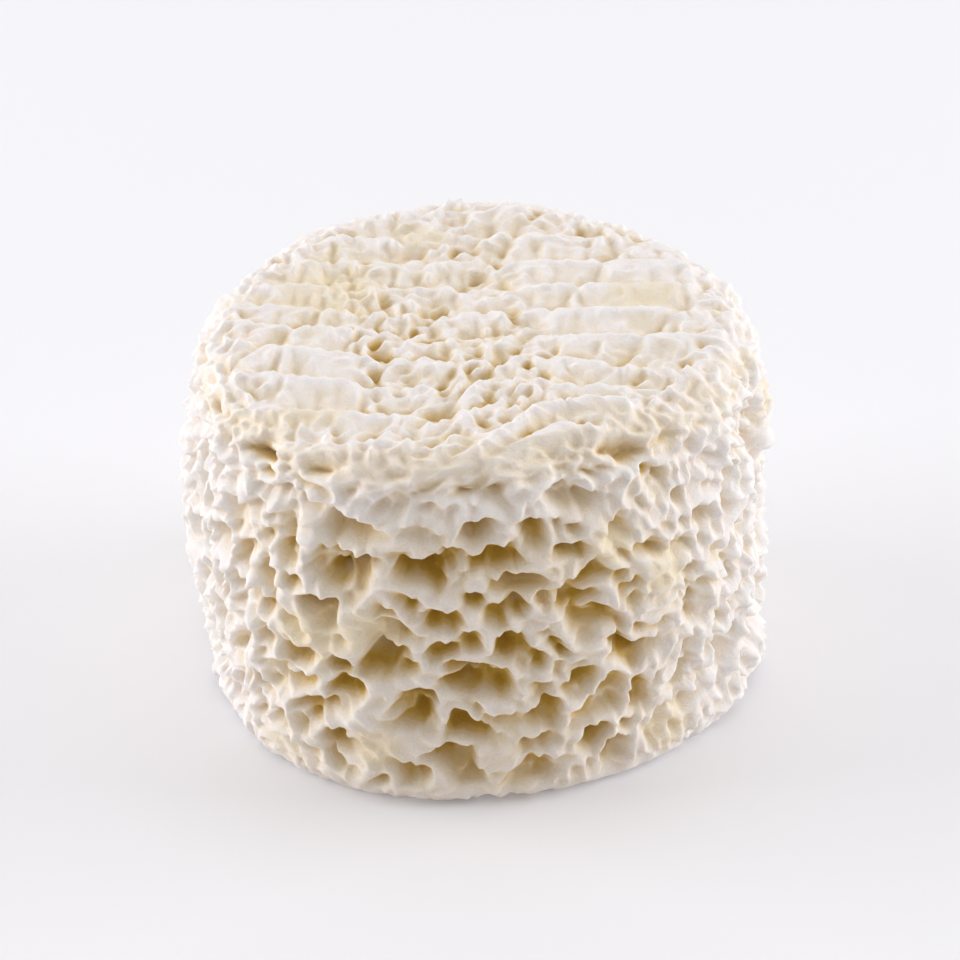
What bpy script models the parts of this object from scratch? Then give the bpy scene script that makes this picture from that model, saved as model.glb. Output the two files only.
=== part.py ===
"""A crottin: one small drum of matured goat's cheese with a deeply wrinkled rind.

The drum is turned, remeshed evenly, and its rind is then pushed in and out by a relief:
a network of rounded ridges and hollows round the side, the bars of a draining mat on the
two flat ends, and the hollows and folds that this one cheese is known by. A last step thins
the mesh, so that the facets follow the main folds.

Sizes are in millimetres up to the point where a mesh takes them, in metres. Places on the
side are given as an angle in degrees from the front (-Y) towards +X, and a height.
"""

import math

import bpy
import numpy as np

MM = 0.001

NAME = "crottin"
RIND_COLOUR = (0.82, 0.76, 0.65, 1.0)
RIND_ROUGHNESS = 0.6

# ---------------------------------------------------------------- the drum
HEIGHT = 33.8
TOP_RADIUS = 25.1
FOOT_RADIUS = 26.1
BULGE = 1.5            # how far the wall stands out at half height
TOP_EDGE = 4.2         # rounding of the upper rim
FOOT_EDGE = 2.0        # rounding of the lower rim
EDGE_STEPS = 8
TURN_STEPS = 128
# how far out of round it is: (cosine, sine) amounts of one, two and three lobes
TOP_LOBES = ((0.5, 0.5), (-0.6, 1.0), (0.7, -0.25))
FOOT_LOBES = ((0.6, -0.3), (-0.25, -1.0), (1.2, 0.1))

RADIUS = 0.5 * (TOP_RADIUS + FOOT_RADIUS)
GIRTH = 2 * math.pi * RADIUS

# ---------------------------------------------------------------- the mesh
REMESH_SIZE = 0.55     # edge of the even mesh that takes the relief
FACETS = 10600         # triangles that the finished solid keeps
FLAT_SPOT = (5.0, 10.0)      # the underside is plain at the middle, and printed from here on
FLOOR_SNAP = 0.05      # what is this near to the floor lies on it

# ---------------------------------------------------------------- the relief's grid
GRID = 0.2             # step of the relief sheets
COLUMNS = round(GIRTH / GRID)
ROWS = 240             # sheet of the side, from 6 mm under the foot
SIDE_START = -6.0
FACE_SPAN = 31.0       # a flat end's sheet runs from -31 to +31 both ways
SIDE_SOFTNESS = 0.2    # last blurring of the side's relief, and of a flat end's
FACE_SOFTNESS = 0.26
PROUDEST = 0.5         # ridges are eased down where they stand further out than this
CAP_EASE = 0.25
DROOP = 0.32           # how far down each mm of height slips, so that ridges hang over
                       # hollows; it fades out towards the rim

# ---------------------------------------------------------------- folds of the side
FOLD_SIZE = (4.4, 3.4)       # width and height of a large hollow
FOLD_DEPTH = 3.6
PIT_SIZE = (2.9, 3.5)        # and of a small one, near the two flanks
PIT_DEPTH = 2.9
CRINKLE_SIZE = (2.0, 1.8)    # and of the crinkles inside both
CRINKLE_DEPTH = 1.4
WORM_SIZE = (5.6, 4.6)       # how far apart the thin winding ridges run, twice over
FURROW_DEPTH = 0.45          # of the upright furrows on the flanks
WAVE_HEIGHT = 0.4           # of the slow swelling of the whole rind
FRONT_FOLDS = (5, 44, 16)    # middle, reach and fading of the large hollows, degrees
HEM = (26.0, 31.0)           # between these heights the hollows grow shallow towards the rim
HEM_CALM = 0.45
FOOT_CALM = (3.4, 0.6)       # and between these they do so towards the foot
WARPS = ((0.7, 1.8), (0.3, 0.7))    # how far and over what width the network is bent
LAND_RISE = 0.45             # how proud the broad folds stand
LAND_FADE = 0.9

# The deep hollows: angle, height, width, tallness, tilt in degrees, depth
HOLLOWS = (
    (-22, 22.9, 6.4, 4.2, -46, 3.5), (-8, 22.8, 7.4, 3.8, -8, 3.7), (-23, 27.3, 6.0, 2.7, -15, 2.5),
    (-34, 27.9, 4.8, 2.2, 12, 2.0), (-33, 24.6, 2.8, 3.2, 20, 2.2), (-26, 19.1, 4.2, 3.4, -12, 3.0),
    (-32, 13.0, 2.4, 3.2, 10, 2.2), (-14, 13.0, 4.8, 2.8, 50, 3.0), (-13, 16.3, 3.4, 2.4, 0, 2.2),
    (-5, 15.0, 3.0, 2.4, 30, 2.3), (0, 10.6, 6.4, 2.6, -6, 2.8), (-9, 9.0, 3.8, 3.0, 45, 2.5),
    (-28, 8.2, 4.4, 2.2, 0, 2.1), (-22, 5.4, 4.8, 1.9, 0, 1.9), (4, 24.3, 4.6, 2.0, 14, 2.6),
    (10, 21.8, 5.0, 1.9, 14, 2.7), (24, 21.0, 4.0, 2.0, 8, 2.6), (24, 18.9, 3.8, 1.9, -6, 2.5),
    (33, 12.8, 4.4, 2.4, 0, 2.6), (60, 8.2, 3.4, 4.2, 20, 2.2), (37, 22.8, 3.6, 1.6, -24, 2.2),
    (9, 15.4, 4.4, 3.2, 0, 2.5), (21, 11.2, 3.0, 2.2, 15, 2.3), (13.5, 26.6, 2.0, 2.4, 20, 2.0),
    (35, 31.0, 4.0, 2.8, -8, 3.8), (-41, 31.8, 3.0, 3.4, 35, 3.6), (2, 26.4, 2.2, 1.7, 0, 1.8),
    (-3, 18.0, 3.0, 2.2, 20, 2.0), (7, 18.8, 2.6, 2.8, 10, 2.2), (15, 9.0, 3.6, 2.0, 20, 2.1),
)
# The broad smooth folds: half width, then the angles and heights that each runs through
FOLDS = (
    (0.9, ((-31, 29.0), (-28, 25.0), (-25, 22.0), (-20, 19.4), (-17, 16.4), (-18, 13.6))),
    (0.7, ((-18, 25.8), (-16, 23.0), (-11, 20.6), (-3, 19.0), (3, 18.0))),
    (0.8, ((-14, 11.2), (-16, 8.0), (-18, 5.0))),
    (0.45, ((23, 27.2), (24, 24.8), (28, 22.8))),
    (0.1, ((33, 24.4), (38, 21.8), (40, 18.6), (39, 15.6))),
    (0.7, ((2, 22.8), (8, 23.4), (15, 23.6), (22, 23.0))),
    (1.5, ((85, 30.5), (88, 23.0))),
    (1.2, ((71, 3.6), (79, 2.4))),
)

# ---------------------------------------------------------------- the flat ends
BAR_PITCH = 4.5        # from one bar of the mat's print to the next
BAR_OFFSET = 2.2       # where a bar crosses the middle line
BAR_SLOPE = -0.067     # rise of the bars towards +X
BAR_RELIEF = 1.2       # height of a bar
CREASE_PITCH = 11.2    # from one diagonal crease to the next, along a bar
CREASE_OFFSET = -4.4
CREASE_SLOPE = 1.75    # rise of the creases towards +X
CREASE_DEPTH = 0.7
BEAD_SIZE = (3.3, 4.5)       # the lumps that the bars break into near the middle
BEAD_DEPTH = 1.0 
GROOVE_DEPTH = 0.55          # of the grooves that wind between them
FACE_CRINKLE_DEPTH = 0.55
RIDGES = (                   # two long ridges near the front: x and y that each runs through
    ((0.0, -25.0), (4.4, -20.4), (7.4, -17.2), (10.8, -16.0), (15.0, -16.4)),
    ((3.0, -25.0), (6.0, -22.4), (9.4, -20.4), (14.4, -20.6)),
)
UNDERSIDE_LIFT = 0.45        # how much of the print's height the floor has pressed flat


def smooth(low, high, value):
    """0 below low, 1 above high, and an even curve between them."""
    part = np.clip((value - low) / (high - low), 0, 1)
    return part * part * (3 - 2 * part)


def blur(sheet, size):
    """A sheet softened by a Gaussian of this size, in millimetres; its edges meet."""
    across = np.fft.rfftfreq(sheet.shape[1], GRID)
    along = np.fft.fftfreq(sheet.shape[0], GRID)
    keep = np.exp(-2 * (math.pi * size) ** 2 * (across[None, :] ** 2 + along[:, None] ** 2))
    return np.fft.irfft2(np.fft.rfft2(sheet) * keep, s=sheet.shape)


def noise(shape, size, seed):
    """Random waves about this wide, in millimetres, with a mean of 0 and a spread of 1."""
    waves = blur(np.random.default_rng(seed).standard_normal(shape), size)
    return (waves - waves.mean()) / waves.std()


def wrinkles(shape, size, seed, spread=0.3):
    """Random waves of one length, with crests this far apart across and up: mean 0, spread 1."""
    across = np.fft.rfftfreq(shape[1], GRID) * size[0]
    along = np.fft.fftfreq(shape[0], GRID) * size[1]
    pace = np.hypot(across[None, :], along[:, None])
    keep = np.exp(-0.5 * ((pace - 1) / spread) ** 2)
    waves = np.fft.irfft2(np.fft.rfft2(np.random.default_rng(seed).standard_normal(shape)) * keep, s=shape)
    return waves / waves.std()


def worms(shape, size, seed, half_width=0.25, fade=0.55):
    """Thin winding ridges of an even width, 1 on their crests: where the waves cross 0."""
    waves = wrinkles(shape, size, seed)
    slope = np.hypot(*np.gradient(waves, GRID))
    return 1 - smooth(half_width, half_width + fade, np.abs(waves) / np.maximum(slope, 0.25))


def hollows(u, v, size, seed, turn=(0, 90), stretch=0.8, crest=0.15, reach=1.3):
    """A network of rounded ridges, 0, round hollows of every depth down to 1.

    size is the width and height of a hollow, turn the middle and spread of the way its
    longer side points, crest the half width of a ridge and reach that of a wall.
    """
    rng = np.random.default_rng(seed)
    columns = round(COLUMNS * GRID / size[0])
    rows = round(ROWS * GRID / size[1])
    cell = (COLUMNS * GRID / columns, ROWS * GRID / rows)
    shift_u, shift_v = rng.uniform(-0.42, 0.42, (2, rows, columns))
    way = np.radians(turn[0] + turn[1] * rng.uniform(-1, 1, (rows, columns)))
    long = (1 + stretch) ** rng.uniform(0.2, 1, (rows, columns))
    large = rng.uniform(0.75, 1.4, (rows, columns))
    deep = rng.uniform(0.3, 1, (rows, columns))

    cell_u, cell_v = u / cell[0], v / cell[1]
    first_u, first_v = np.floor(cell_u).astype(int), np.floor(cell_v).astype(int)
    nearest, second = np.full(u.shape, 9.0), np.full(u.shape, 9.0)
    depth = np.zeros(u.shape)
    for j in range(-2, 3):
        for i in range(-2, 3):
            at = ((first_v + j) % rows, (first_u + i) % columns)
            across = cell_u - (first_u + i + 0.5 + shift_u[at])
            along = cell_v - (first_v + j + 0.5 + shift_v[at])
            c, s = np.cos(way[at]), np.sin(way[at])
            far = np.hypot((c * across + s * along) / long[at], (c * along - s * across) * long[at])
            far = far / large[at]
            closer = far < nearest
            second = np.where(closer, nearest, np.minimum(second, far))
            depth = np.where(closer, deep[at], depth)
            nearest = np.where(closer, far, nearest)
    edge = 0.5 * (second - nearest) * min(cell)
    wall = 0.8 * smooth(crest, crest + reach, edge) + 0.2 * smooth(crest, crest + 2.5 * reach, edge)
    return depth * wall


def distance_to_path(u, v, path):
    """How far each point of a sheet is from a path of straight runs."""
    best = np.full(u.shape, 1e3)
    for (u0, v0), (u1, v1) in zip(path, path[1:]):
        run_u, run_v = u1 - u0, v1 - v0
        part = np.clip(((u - u0) * run_u + (v - v0) * run_v) / (run_u ** 2 + run_v ** 2), 0, 1)
        best = np.minimum(best, np.hypot(u - u0 - part * run_u, v - v0 - part * run_v))
    return best


def capped(relief):
    """The relief with its highest places eased down, so that none stands much too proud."""
    return relief - CAP_EASE * np.logaddexp(0, (relief - PROUDEST) / CAP_EASE)


def upright_furrows(u):
    """Wavering furrows that run up and down the wall, about 0 in the middle."""
    wander = 1.8 * noise(u.shape, 6, 25)
    lines = noise((2, COLUMNS), 0.9, 24)[0]
    return np.interp((u + wander) / GRID, np.arange(COLUMNS), lines, period=COLUMNS)


def add_folds(relief, warped):
    """The side's relief with the broad folds laid over it."""
    for half_width, path in FOLDS:
        path = [((a + 180) / 360 * GIRTH, h - SIDE_START) for a, h in path]
        land = 1 - smooth(half_width, half_width + LAND_FADE, distance_to_path(*warped, path))
        relief = relief * (1 - 0.65 * land) + LAND_RISE * land
    return relief


def add_deep_hollows(relief, angle, height, warp):
    """The side's relief with the deep hollows sunk in it, each with its raised lip."""
    uneven = 1 + 0.2 * noise(relief.shape, 0.7, 18)
    for at_angle, at_height, wide, tall, tilt, depth in HOLLOWS:
        across = (angle - at_angle) / 360 * GIRTH + 0.5 * warp[0]
        along = height - at_height + 0.5 * warp[1]
        c, s = math.cos(math.radians(tilt)), math.sin(math.radians(tilt))
        far = np.hypot(2 * (c * across + s * along) / wide, 2 * (c * along - s * across) / tall)
        far = far * uneven
        bowl = 1 - 0.75 * smooth(0.6, 1.1, far) - 0.25 * smooth(0, 0.9, far)
        lip = smooth(0.8, 1.15, far) * (1 - smooth(1.35, 1.9, far))
        relief = relief * (1 - 0.3 * bowl) * (1 - 0.5 * lip) - 0.8 * depth * bowl
    return relief


def side_sheet():
    """The relief round the side, in mm: column 0 is at the back, the middle one at the front."""
    u, v = np.meshgrid(np.arange(COLUMNS) * GRID, np.arange(ROWS) * GRID)
    angle = 360 * u / GIRTH - 180
    height = v + SIDE_START
    (bend, width), (fine_bend, fine_width) = WARPS
    warp_u = bend * noise(u.shape, width, 11) + fine_bend * noise(u.shape, fine_width, 13)
    warp_v = bend * noise(u.shape, width, 12) + fine_bend * noise(u.shape, fine_width, 14)
    warped = (u + warp_u, v + warp_v)

    # large hollows in front and in patches behind, small ones with upright furrows elsewhere
    large = FOLD_DEPTH * hollows(*warped, FOLD_SIZE, 21, turn=(0, 60), stretch=0.35, crest=0.14, reach=0.75)
    small = PIT_DEPTH * hollows(*warped, PIT_SIZE, 22, turn=(90, 40), stretch=0.4, crest=0.08, reach=0.6)
    small = small + FURROW_DEPTH * (1 + upright_furrows(u))
    middle, reach, fade = FRONT_FOLDS
    front = 1 - smooth(reach - fade, reach + fade, np.abs(angle - middle))
    behind = smooth(80, 110, np.abs(angle)) * smooth(-0.3, 0.8, noise(u.shape, 7, 15))
    share = np.maximum(front, behind)
    crinkle = hollows(u + 0.6 * warp_v, v + 0.6 * warp_u, CRINKLE_SIZE, 23, crest=0.03, reach=0.4)
    crinkle = CRINKLE_DEPTH * crinkle * smooth(-1.2, 0.8, noise(u.shape, 3, 16))
    hem = smooth(*HEM, height)
    relief = -(share * large + (1 - share) * small) * (1 - HEM_CALM * hem) - crinkle * (1 - 0.4 * hem)
    relief = relief * (1 - 0.8 * (1 - smooth(*FOOT_CALM[::-1], height)))

    worm = worms(u.shape, WORM_SIZE, 27) * smooth(-0.9, 0.5, noise(u.shape, 3, 28))
    relief = relief * (1 - 0.25 * worm)
    relief = add_folds(relief, warped)
    relief = add_deep_hollows(relief, angle, height, (warp_u, warp_v))
    waves = WAVE_HEIGHT * noise(u.shape, 5, 17) * smooth(1, 6, height)
    return blur(capped(relief + waves), SIDE_SOFTNESS)


def face_sheet(seed, with_ridges):
    """The relief of a flat end, in mm, with x along the columns and y along the rows."""
    axis = np.arange(-FACE_SPAN, FACE_SPAN, GRID)
    x, y = np.meshgrid(axis, axis)
    warp_x, warp_y = 0.7 * noise(x.shape, 2.4, seed + 1), 0.6 * noise(x.shape, 2.4, seed + 2)

    # the bars are plain at the two sides, and break up into beads near the middle
    plain = smooth(7, 11, np.abs(x + 1.0 + 0.25 * (y + 4))) * (1 - smooth(14, 22, np.hypot(x, y)))
    plain = np.clip(plain + 0.25 * noise(x.shape, 2.5, seed + 3), 0, 1)
    bend = 0.9 * warp_y * (1 - 0.6 * plain) + 0.25 * noise(x.shape, 5, seed + 11)
    row = (y - BAR_OFFSET - BAR_SLOPE * x + bend) / BAR_PITCH
    below = np.ceil(row) - row                       # 0 on a bar's crest, towards 1 in front of it
    bars = 1 - np.clip((below - 0.02) / 0.75, 0, 1) ** 1.2 + smooth(0.8, 1.0, below)

    beads = hollows(x + FACE_SPAN + warp_x, (row + 14) * BAR_PITCH, BEAD_SIZE, seed + 4,
                    turn=(60, 60), stretch=0.5, crest=0.05, reach=0.6)
    crinkle = hollows(x + FACE_SPAN + 0.6 * warp_y, y + FACE_SPAN + 0.6 * warp_x, CRINKLE_SIZE,
                      seed + 5, turn=(70, 40), crest=0.03, reach=0.45)
    relief = BAR_RELIEF * (bars - 1) * (0.55 + 0.45 * plain)
    relief = relief - BEAD_DEPTH * beads * (1 - 0.85 * plain)
    relief = relief - FACE_CRINKLE_DEPTH * crinkle * (1 - 0.55 * plain)

    # thin grooves wind between the beads
    groove = worms(x.shape, WORM_SIZE, seed + 8, 0.05, 0.4) * (1 - 0.95 * plain)
    relief = relief - GROOVE_DEPTH * groove

    crossing = (x - (y + warp_y) / CREASE_SLOPE - CREASE_OFFSET) / CREASE_PITCH
    apart = np.abs(crossing - np.round(crossing)) * CREASE_PITCH * math.sin(math.atan(CREASE_SLOPE))
    crease = (1 - smooth(0.05, 0.8, apart)) * smooth(-0.8, 0.6, noise(x.shape, 4, seed + 6))
    relief = relief - CREASE_DEPTH * crease
    if with_ridges:
        for path in RIDGES:
            far = distance_to_path(x + 0.4 * warp_x, y + 0.4 * warp_y, path)
            relief = relief * (0.4 + 0.6 * smooth(0.1, 1.1, far)) + 0.25 * (1 - smooth(0.0, 1.1, far))
    waves = WAVE_HEIGHT * noise(x.shape, 5, seed + 7)
    return blur(capped(relief + waves), FACE_SOFTNESS)


def read_sheet(sheet, column, row, wraps=False):
    """The sheet's value between its grid points."""
    low_c, low_r = np.floor(column).astype(int), np.floor(row).astype(int)
    part_c, part_r = column - low_c, row - low_r
    rows = np.clip(low_r, 0, sheet.shape[0] - 2)
    left = low_c % sheet.shape[1] if wraps else np.clip(low_c, 0, sheet.shape[1] - 2)
    right = (left + 1) % sheet.shape[1]
    lower = sheet[rows, left] * (1 - part_c) + sheet[rows, right] * part_c
    upper = sheet[rows + 1, left] * (1 - part_c) + sheet[rows + 1, right] * part_c
    return lower * (1 - part_r) + upper * part_r


def lobed_radius(mean, lobes, turn):
    """A radius that goes in and out with the angle."""
    radius = np.full_like(turn, mean)
    for count, (cosine, sine) in enumerate(lobes, start=1):
        radius = radius + cosine * np.cos(count * turn) + sine * np.sin(count * turn)
    return radius


def add_rind(points):
    """Points on the plain turned drum, in mm, moved to where the rind of the cheese is."""
    x, y, z = points.T
    turn = np.arctan2(y, x)
    out = np.hypot(x, y)
    edge = np.where(z > HEIGHT / 2, TOP_EDGE, FOOT_EDGE)

    # which way the plain drum faces: straight up, straight out, or between them on a rim
    over = np.maximum(out - (RADIUS - edge), 0)
    above = np.where(z > HEIGHT / 2, np.maximum(z - (HEIGHT - edge), 0), np.minimum(z - edge, 0))
    tip = np.arctan2(above, over)
    facing_out, facing_up = np.cos(tip), np.sin(tip)

    # how far along the surface each point is, on a flat end and on the side
    reach = np.minimum(out, RADIUS - edge) + edge * (math.pi / 2 - np.abs(tip)) * (over > 0)
    face_x, face_y = reach * np.cos(turn), reach * np.sin(turn)
    along = np.clip(z, FOOT_EDGE, HEIGHT - TOP_EDGE) + edge * tip
    column = (((turn + math.pi / 2) / (2 * math.pi) + 0.5) % 1) * COLUMNS

    side = read_sheet(side_sheet(), column, (along - SIDE_START) / GRID, wraps=True)
    face_place = ((face_x + FACE_SPAN) / GRID, (face_y + FACE_SPAN) / GRID)
    top = read_sheet(face_sheet(31, with_ridges=True), *face_place)
    foot = read_sheet(face_sheet(51, with_ridges=False), *face_place)
    foot = np.minimum(foot + UNDERSIDE_LIFT, 0) * smooth(*FLAT_SPOT, out)

    top_share = smooth(0.4, 0.95, facing_up)
    foot_share = smooth(0.5, 0.95, -facing_up)
    side_share = 1 - top_share - foot_share
    push = side_share * side + top_share * top + foot_share * foot

    out = out + push * facing_out
    droop = DROOP * side_share * (1 - smooth(*HEM, along))
    z = z + push * facing_up - droop * push * facing_out

    # out of round, tapered and bulging, more so towards the wall
    level = np.clip(z / HEIGHT, 0, 1)
    wall = (1 - level) * lobed_radius(FOOT_RADIUS, FOOT_LOBES, turn)
    wall = wall + level * lobed_radius(TOP_RADIUS, TOP_LOBES, turn) + 4 * BULGE * level * (1 - level)
    out = out + (wall - RADIUS) * smooth(0, RADIUS, out)
    return np.stack([out * np.cos(turn), out * np.sin(turn), z], axis=1)


def turned_drum():
    """The plain drum: half its section, turned once round."""
    steps = np.linspace(0, math.pi / 2, EDGE_STEPS + 1)
    profile = [(0.0, HEIGHT)]
    for t in steps:
        profile.append((RADIUS - TOP_EDGE * (1 - math.sin(t)), HEIGHT - TOP_EDGE * (1 - math.cos(t))))
    for t in steps:
        profile.append((RADIUS - FOOT_EDGE * (1 - math.cos(t)), FOOT_EDGE * (1 - math.sin(t))))
    profile.append((0.0, 0.0))
    mesh = bpy.data.meshes.new(NAME)
    edges = [(i, i + 1) for i in range(len(profile) - 1)]
    mesh.from_pydata([(r * MM, 0, z * MM) for r, z in profile], edges, [])
    drum = bpy.data.objects.new(NAME, mesh)
    bpy.context.scene.collection.objects.link(drum)
    screw = drum.modifiers.new("turn", "SCREW")
    screw.steps = screw.render_steps = TURN_STEPS
    screw.use_merge_vertices = True
    screw.merge_threshold = 0.00001
    remesh = drum.modifiers.new("even mesh", "REMESH")
    remesh.mode = "VOXEL"
    remesh.voxel_size = REMESH_SIZE * MM
    return drum


def apply_modifiers(thing):
    """The object's mesh as its modifiers leave it, in place of the one under them."""
    graph = bpy.context.evaluated_depsgraph_get()
    mesh = bpy.data.meshes.new_from_object(thing.evaluated_get(graph))
    thing.modifiers.clear()
    thing.data = mesh


def read_points(mesh):
    points = np.empty(len(mesh.vertices) * 3)
    mesh.vertices.foreach_get("co", points)
    return points.reshape(-1, 3) / MM


def write_points(mesh, points):
    mesh.vertices.foreach_set("co", (points * MM).ravel())
    mesh.update()


def rind_material():
    material = bpy.data.materials.new("rind")
    material.use_nodes = True
    shader = material.node_tree.nodes["Principled BSDF"]
    shader.inputs["Base Color"].default_value = RIND_COLOUR
    shader.inputs["Roughness"].default_value = RIND_ROUGHNESS
    shader.inputs["Metallic"].default_value = 0.0
    return material


def make_crottin():
    crottin = turned_drum()
    apply_modifiers(crottin)
    write_points(crottin.data, add_rind(read_points(crottin.data)))

    crottin.data.calc_loop_triangles()
    thin = crottin.modifiers.new("thin", "DECIMATE")
    thin.ratio = FACETS / len(crottin.data.loop_triangles)
    thin.use_collapse_triangulate = True
    apply_modifiers(crottin)

    # centred on its box and standing on the floor
    points = read_points(crottin.data)
    points[:, :2] -= 0.5 * (points[:, :2].min(axis=0) + points[:, :2].max(axis=0))
    points[:, 2] -= points[:, 2].min()
    points[points[:, 2] < FLOOR_SNAP, 2] = 0
    write_points(crottin.data, points)
    crottin.data.materials.append(rind_material())
    crottin.data.shade_smooth()
    return crottin


def main():
    for thing in list(bpy.data.objects):
        bpy.data.objects.remove(thing)
    parts = bpy.data.collections.new("crottin_parts")
    bpy.context.scene.collection.children.link(parts)
    crottin = make_crottin()
    parts.objects.link(crottin)
    bpy.context.scene.collection.objects.unlink(crottin)


main()
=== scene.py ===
"""The looks of the crottin: its rind at full detail, soft studio light and the camera.

The rind is the CAD drum's own relief on a finer mesh, with wrinkles too small for the solid
added to it. Sizes of the relief are in millimetres, as in the solid's source; a mesh, a light
and the camera take metres. Places on the side are an angle in degrees from the front (-Y)
towards +X, and a height.
"""

import math

import bpy
import numpy as np
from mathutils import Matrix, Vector
from mathutils.bvhtree import BVHTree


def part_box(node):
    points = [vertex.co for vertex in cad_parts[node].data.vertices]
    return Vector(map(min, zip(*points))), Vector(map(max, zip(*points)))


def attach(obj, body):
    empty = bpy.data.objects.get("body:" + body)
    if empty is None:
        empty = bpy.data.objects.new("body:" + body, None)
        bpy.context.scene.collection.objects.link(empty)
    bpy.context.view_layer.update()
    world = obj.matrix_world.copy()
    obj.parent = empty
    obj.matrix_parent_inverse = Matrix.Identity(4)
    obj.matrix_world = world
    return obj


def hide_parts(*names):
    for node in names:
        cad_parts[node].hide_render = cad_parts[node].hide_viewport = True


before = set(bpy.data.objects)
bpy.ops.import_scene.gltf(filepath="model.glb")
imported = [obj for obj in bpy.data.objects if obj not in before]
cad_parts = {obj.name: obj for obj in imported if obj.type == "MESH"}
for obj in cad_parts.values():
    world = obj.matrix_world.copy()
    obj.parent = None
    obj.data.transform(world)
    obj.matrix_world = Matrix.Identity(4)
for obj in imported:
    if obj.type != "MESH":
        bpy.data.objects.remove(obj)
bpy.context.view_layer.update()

MM = 0.001

NODE = "crottin"

# ---------------------------------------------------------------- the drum
HEIGHT = 33.8
TOP_RADIUS = 25.1
FOOT_RADIUS = 26.1
BULGE = 1.5            # how far the wall stands out at half height
TOP_EDGE = 4.2         # rounding of the upper rim
FOOT_EDGE = 2.0        # rounding of the lower rim
EDGE_STEPS = 8
TURN_STEPS = 128
# how far out of round it is: (cosine, sine) amounts of one, two and three lobes
TOP_LOBES = ((0.5, 0.5), (-0.6, 1.0), (0.7, -0.25))
FOOT_LOBES = ((0.6, -0.3), (-0.25, -1.0), (1.2, 0.1))

RADIUS = 0.5 * (TOP_RADIUS + FOOT_RADIUS)
GIRTH = 2 * math.pi * RADIUS

# ---------------------------------------------------------------- the mesh
FLAT_SPOT = (5.0, 10.0)      # the underside's print starts between these radii
FLOOR_SNAP = 0.05            # what is this near to the floor lies on it

# ---------------------------------------------------------------- the relief's grid
GRID = 0.2                   # step of the relief sheets
COLUMNS = round(GIRTH / GRID)
ROWS = 240                   # rows of the side's sheet, from this height up
SIDE_START = -6.0
FACE_SPAN = 31.0             # a flat end's sheet runs this far both ways from its middle
SIDE_SOFTNESS = 0.2          # last blurring of the side's relief, and of a flat end's
FACE_SOFTNESS = 0.26
PROUDEST = 0.5               # ridges are eased down where they stand further out than this
CAP_EASE = 0.25
DROOP = 0.32                 # how far down the side's relief slips for each mm that it stands
                             # out, so that ridges hang over hollows; none at the rim
TOP_SEED = 31                # first of each flat end's random seeds
FOOT_SEED = 51

# ---------------------------------------------------------------- folds of the side
FOLD_SIZE = (4.4, 3.4)       # width and height of a large hollow
FOLD_DEPTH = 3.6
PIT_SIZE = (2.9, 3.5)        # and of a small one, near the two flanks
PIT_DEPTH = 2.9
CRINKLE_SIZE = (2.0, 1.8)    # and of the crinkles inside both
CRINKLE_DEPTH = 1.4
WORM_SIZE = (5.6, 4.6)       # from one thin winding ridge to the next but one
WORM_CALM = 0.45             # how much of the hollows such a ridge fills
WRINKLE_SIZE = (1.5, 1.3)    # from one of the finest wrinkles to the next
WRINKLE_DEPTH = 0.32
PORE_SIZE = (2.1, 1.7)       # and of the small shallow pits between them
PORE_DEPTH = 1.25
FURROW_DEPTH = 0.45          # of the upright furrows on the flanks
WAVE_SIZE = 5.0              # of the slow swelling of the whole rind
WAVE_HEIGHT = 0.4
FRONT_FOLDS = (5, 44, 16)    # middle, reach and fading of the large hollows, degrees
HEM = (26.0, 31.0)           # between these heights the hollows grow shallow towards the rim
HEM_CALM = 0.45
FOOT_RISE = (0.6, 3.4)       # and between these they grow from the foot up
FOOT_CALM = 0.8
WARPS = ((0.7, 1.8), (0.16, 0.8))    # how far and over what width the network is bent
LAND_RISE = 0.45             # how proud the broad folds stand, how wide their slopes are, and
LAND_FADE = 0.9              # how much of the relief they cover
LAND_COVER = 0.65

# the deep hollows: angle, height, width, tallness, tilt in degrees, depth
HOLLOWS = (
    (-22, 22.9, 6.4, 4.2, -46, 3.5), (-8, 22.8, 7.4, 3.8, -8, 3.7), (-23, 27.3, 6.0, 2.7, -15, 2.5),
    (-34, 27.9, 4.8, 2.2, 12, 2.0), (-33, 24.6, 2.8, 3.2, 20, 2.2), (-26, 19.1, 4.2, 3.4, -12, 3.0),
    (-32, 13.0, 2.4, 3.2, 10, 2.2), (-14, 13.0, 4.8, 2.8, 50, 3.0), (-13, 16.3, 3.4, 2.4, 0, 2.2),
    (-5, 15.0, 3.0, 2.4, 30, 2.3), (0, 10.6, 6.4, 2.6, -6, 2.8), (-9, 9.0, 3.8, 3.0, 45, 2.5),
    (-28, 8.2, 4.4, 2.2, 0, 2.1), (-22, 5.4, 4.8, 1.9, 0, 1.9), (4, 24.3, 4.6, 2.0, 14, 2.6),
    (10, 21.8, 5.0, 1.9, 14, 2.7), (24, 21.0, 4.0, 2.0, 8, 2.6), (24, 18.9, 3.8, 1.9, -6, 2.5),
    (33, 12.8, 4.4, 2.4, 0, 2.6), (60, 8.2, 3.4, 4.2, 20, 2.2), (37, 22.8, 3.6, 1.6, -24, 2.2),
    (9, 15.4, 4.4, 3.2, 0, 2.5), (21, 11.2, 3.0, 2.2, 15, 2.3), (13.5, 26.6, 2.0, 2.4, 20, 2.0),
    (35, 31.2, 3.4, 3.6, -8, 2.7), (-41, 32.0, 3.0, 3.8, 35, 2.5), (2, 26.4, 2.2, 1.7, 0, 1.8),
    (-3, 18.0, 3.0, 2.2, 20, 2.0), (7, 18.8, 2.6, 2.8, 10, 2.2), (15, 9.0, 3.6, 2.0, 20, 2.1),
)
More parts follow.
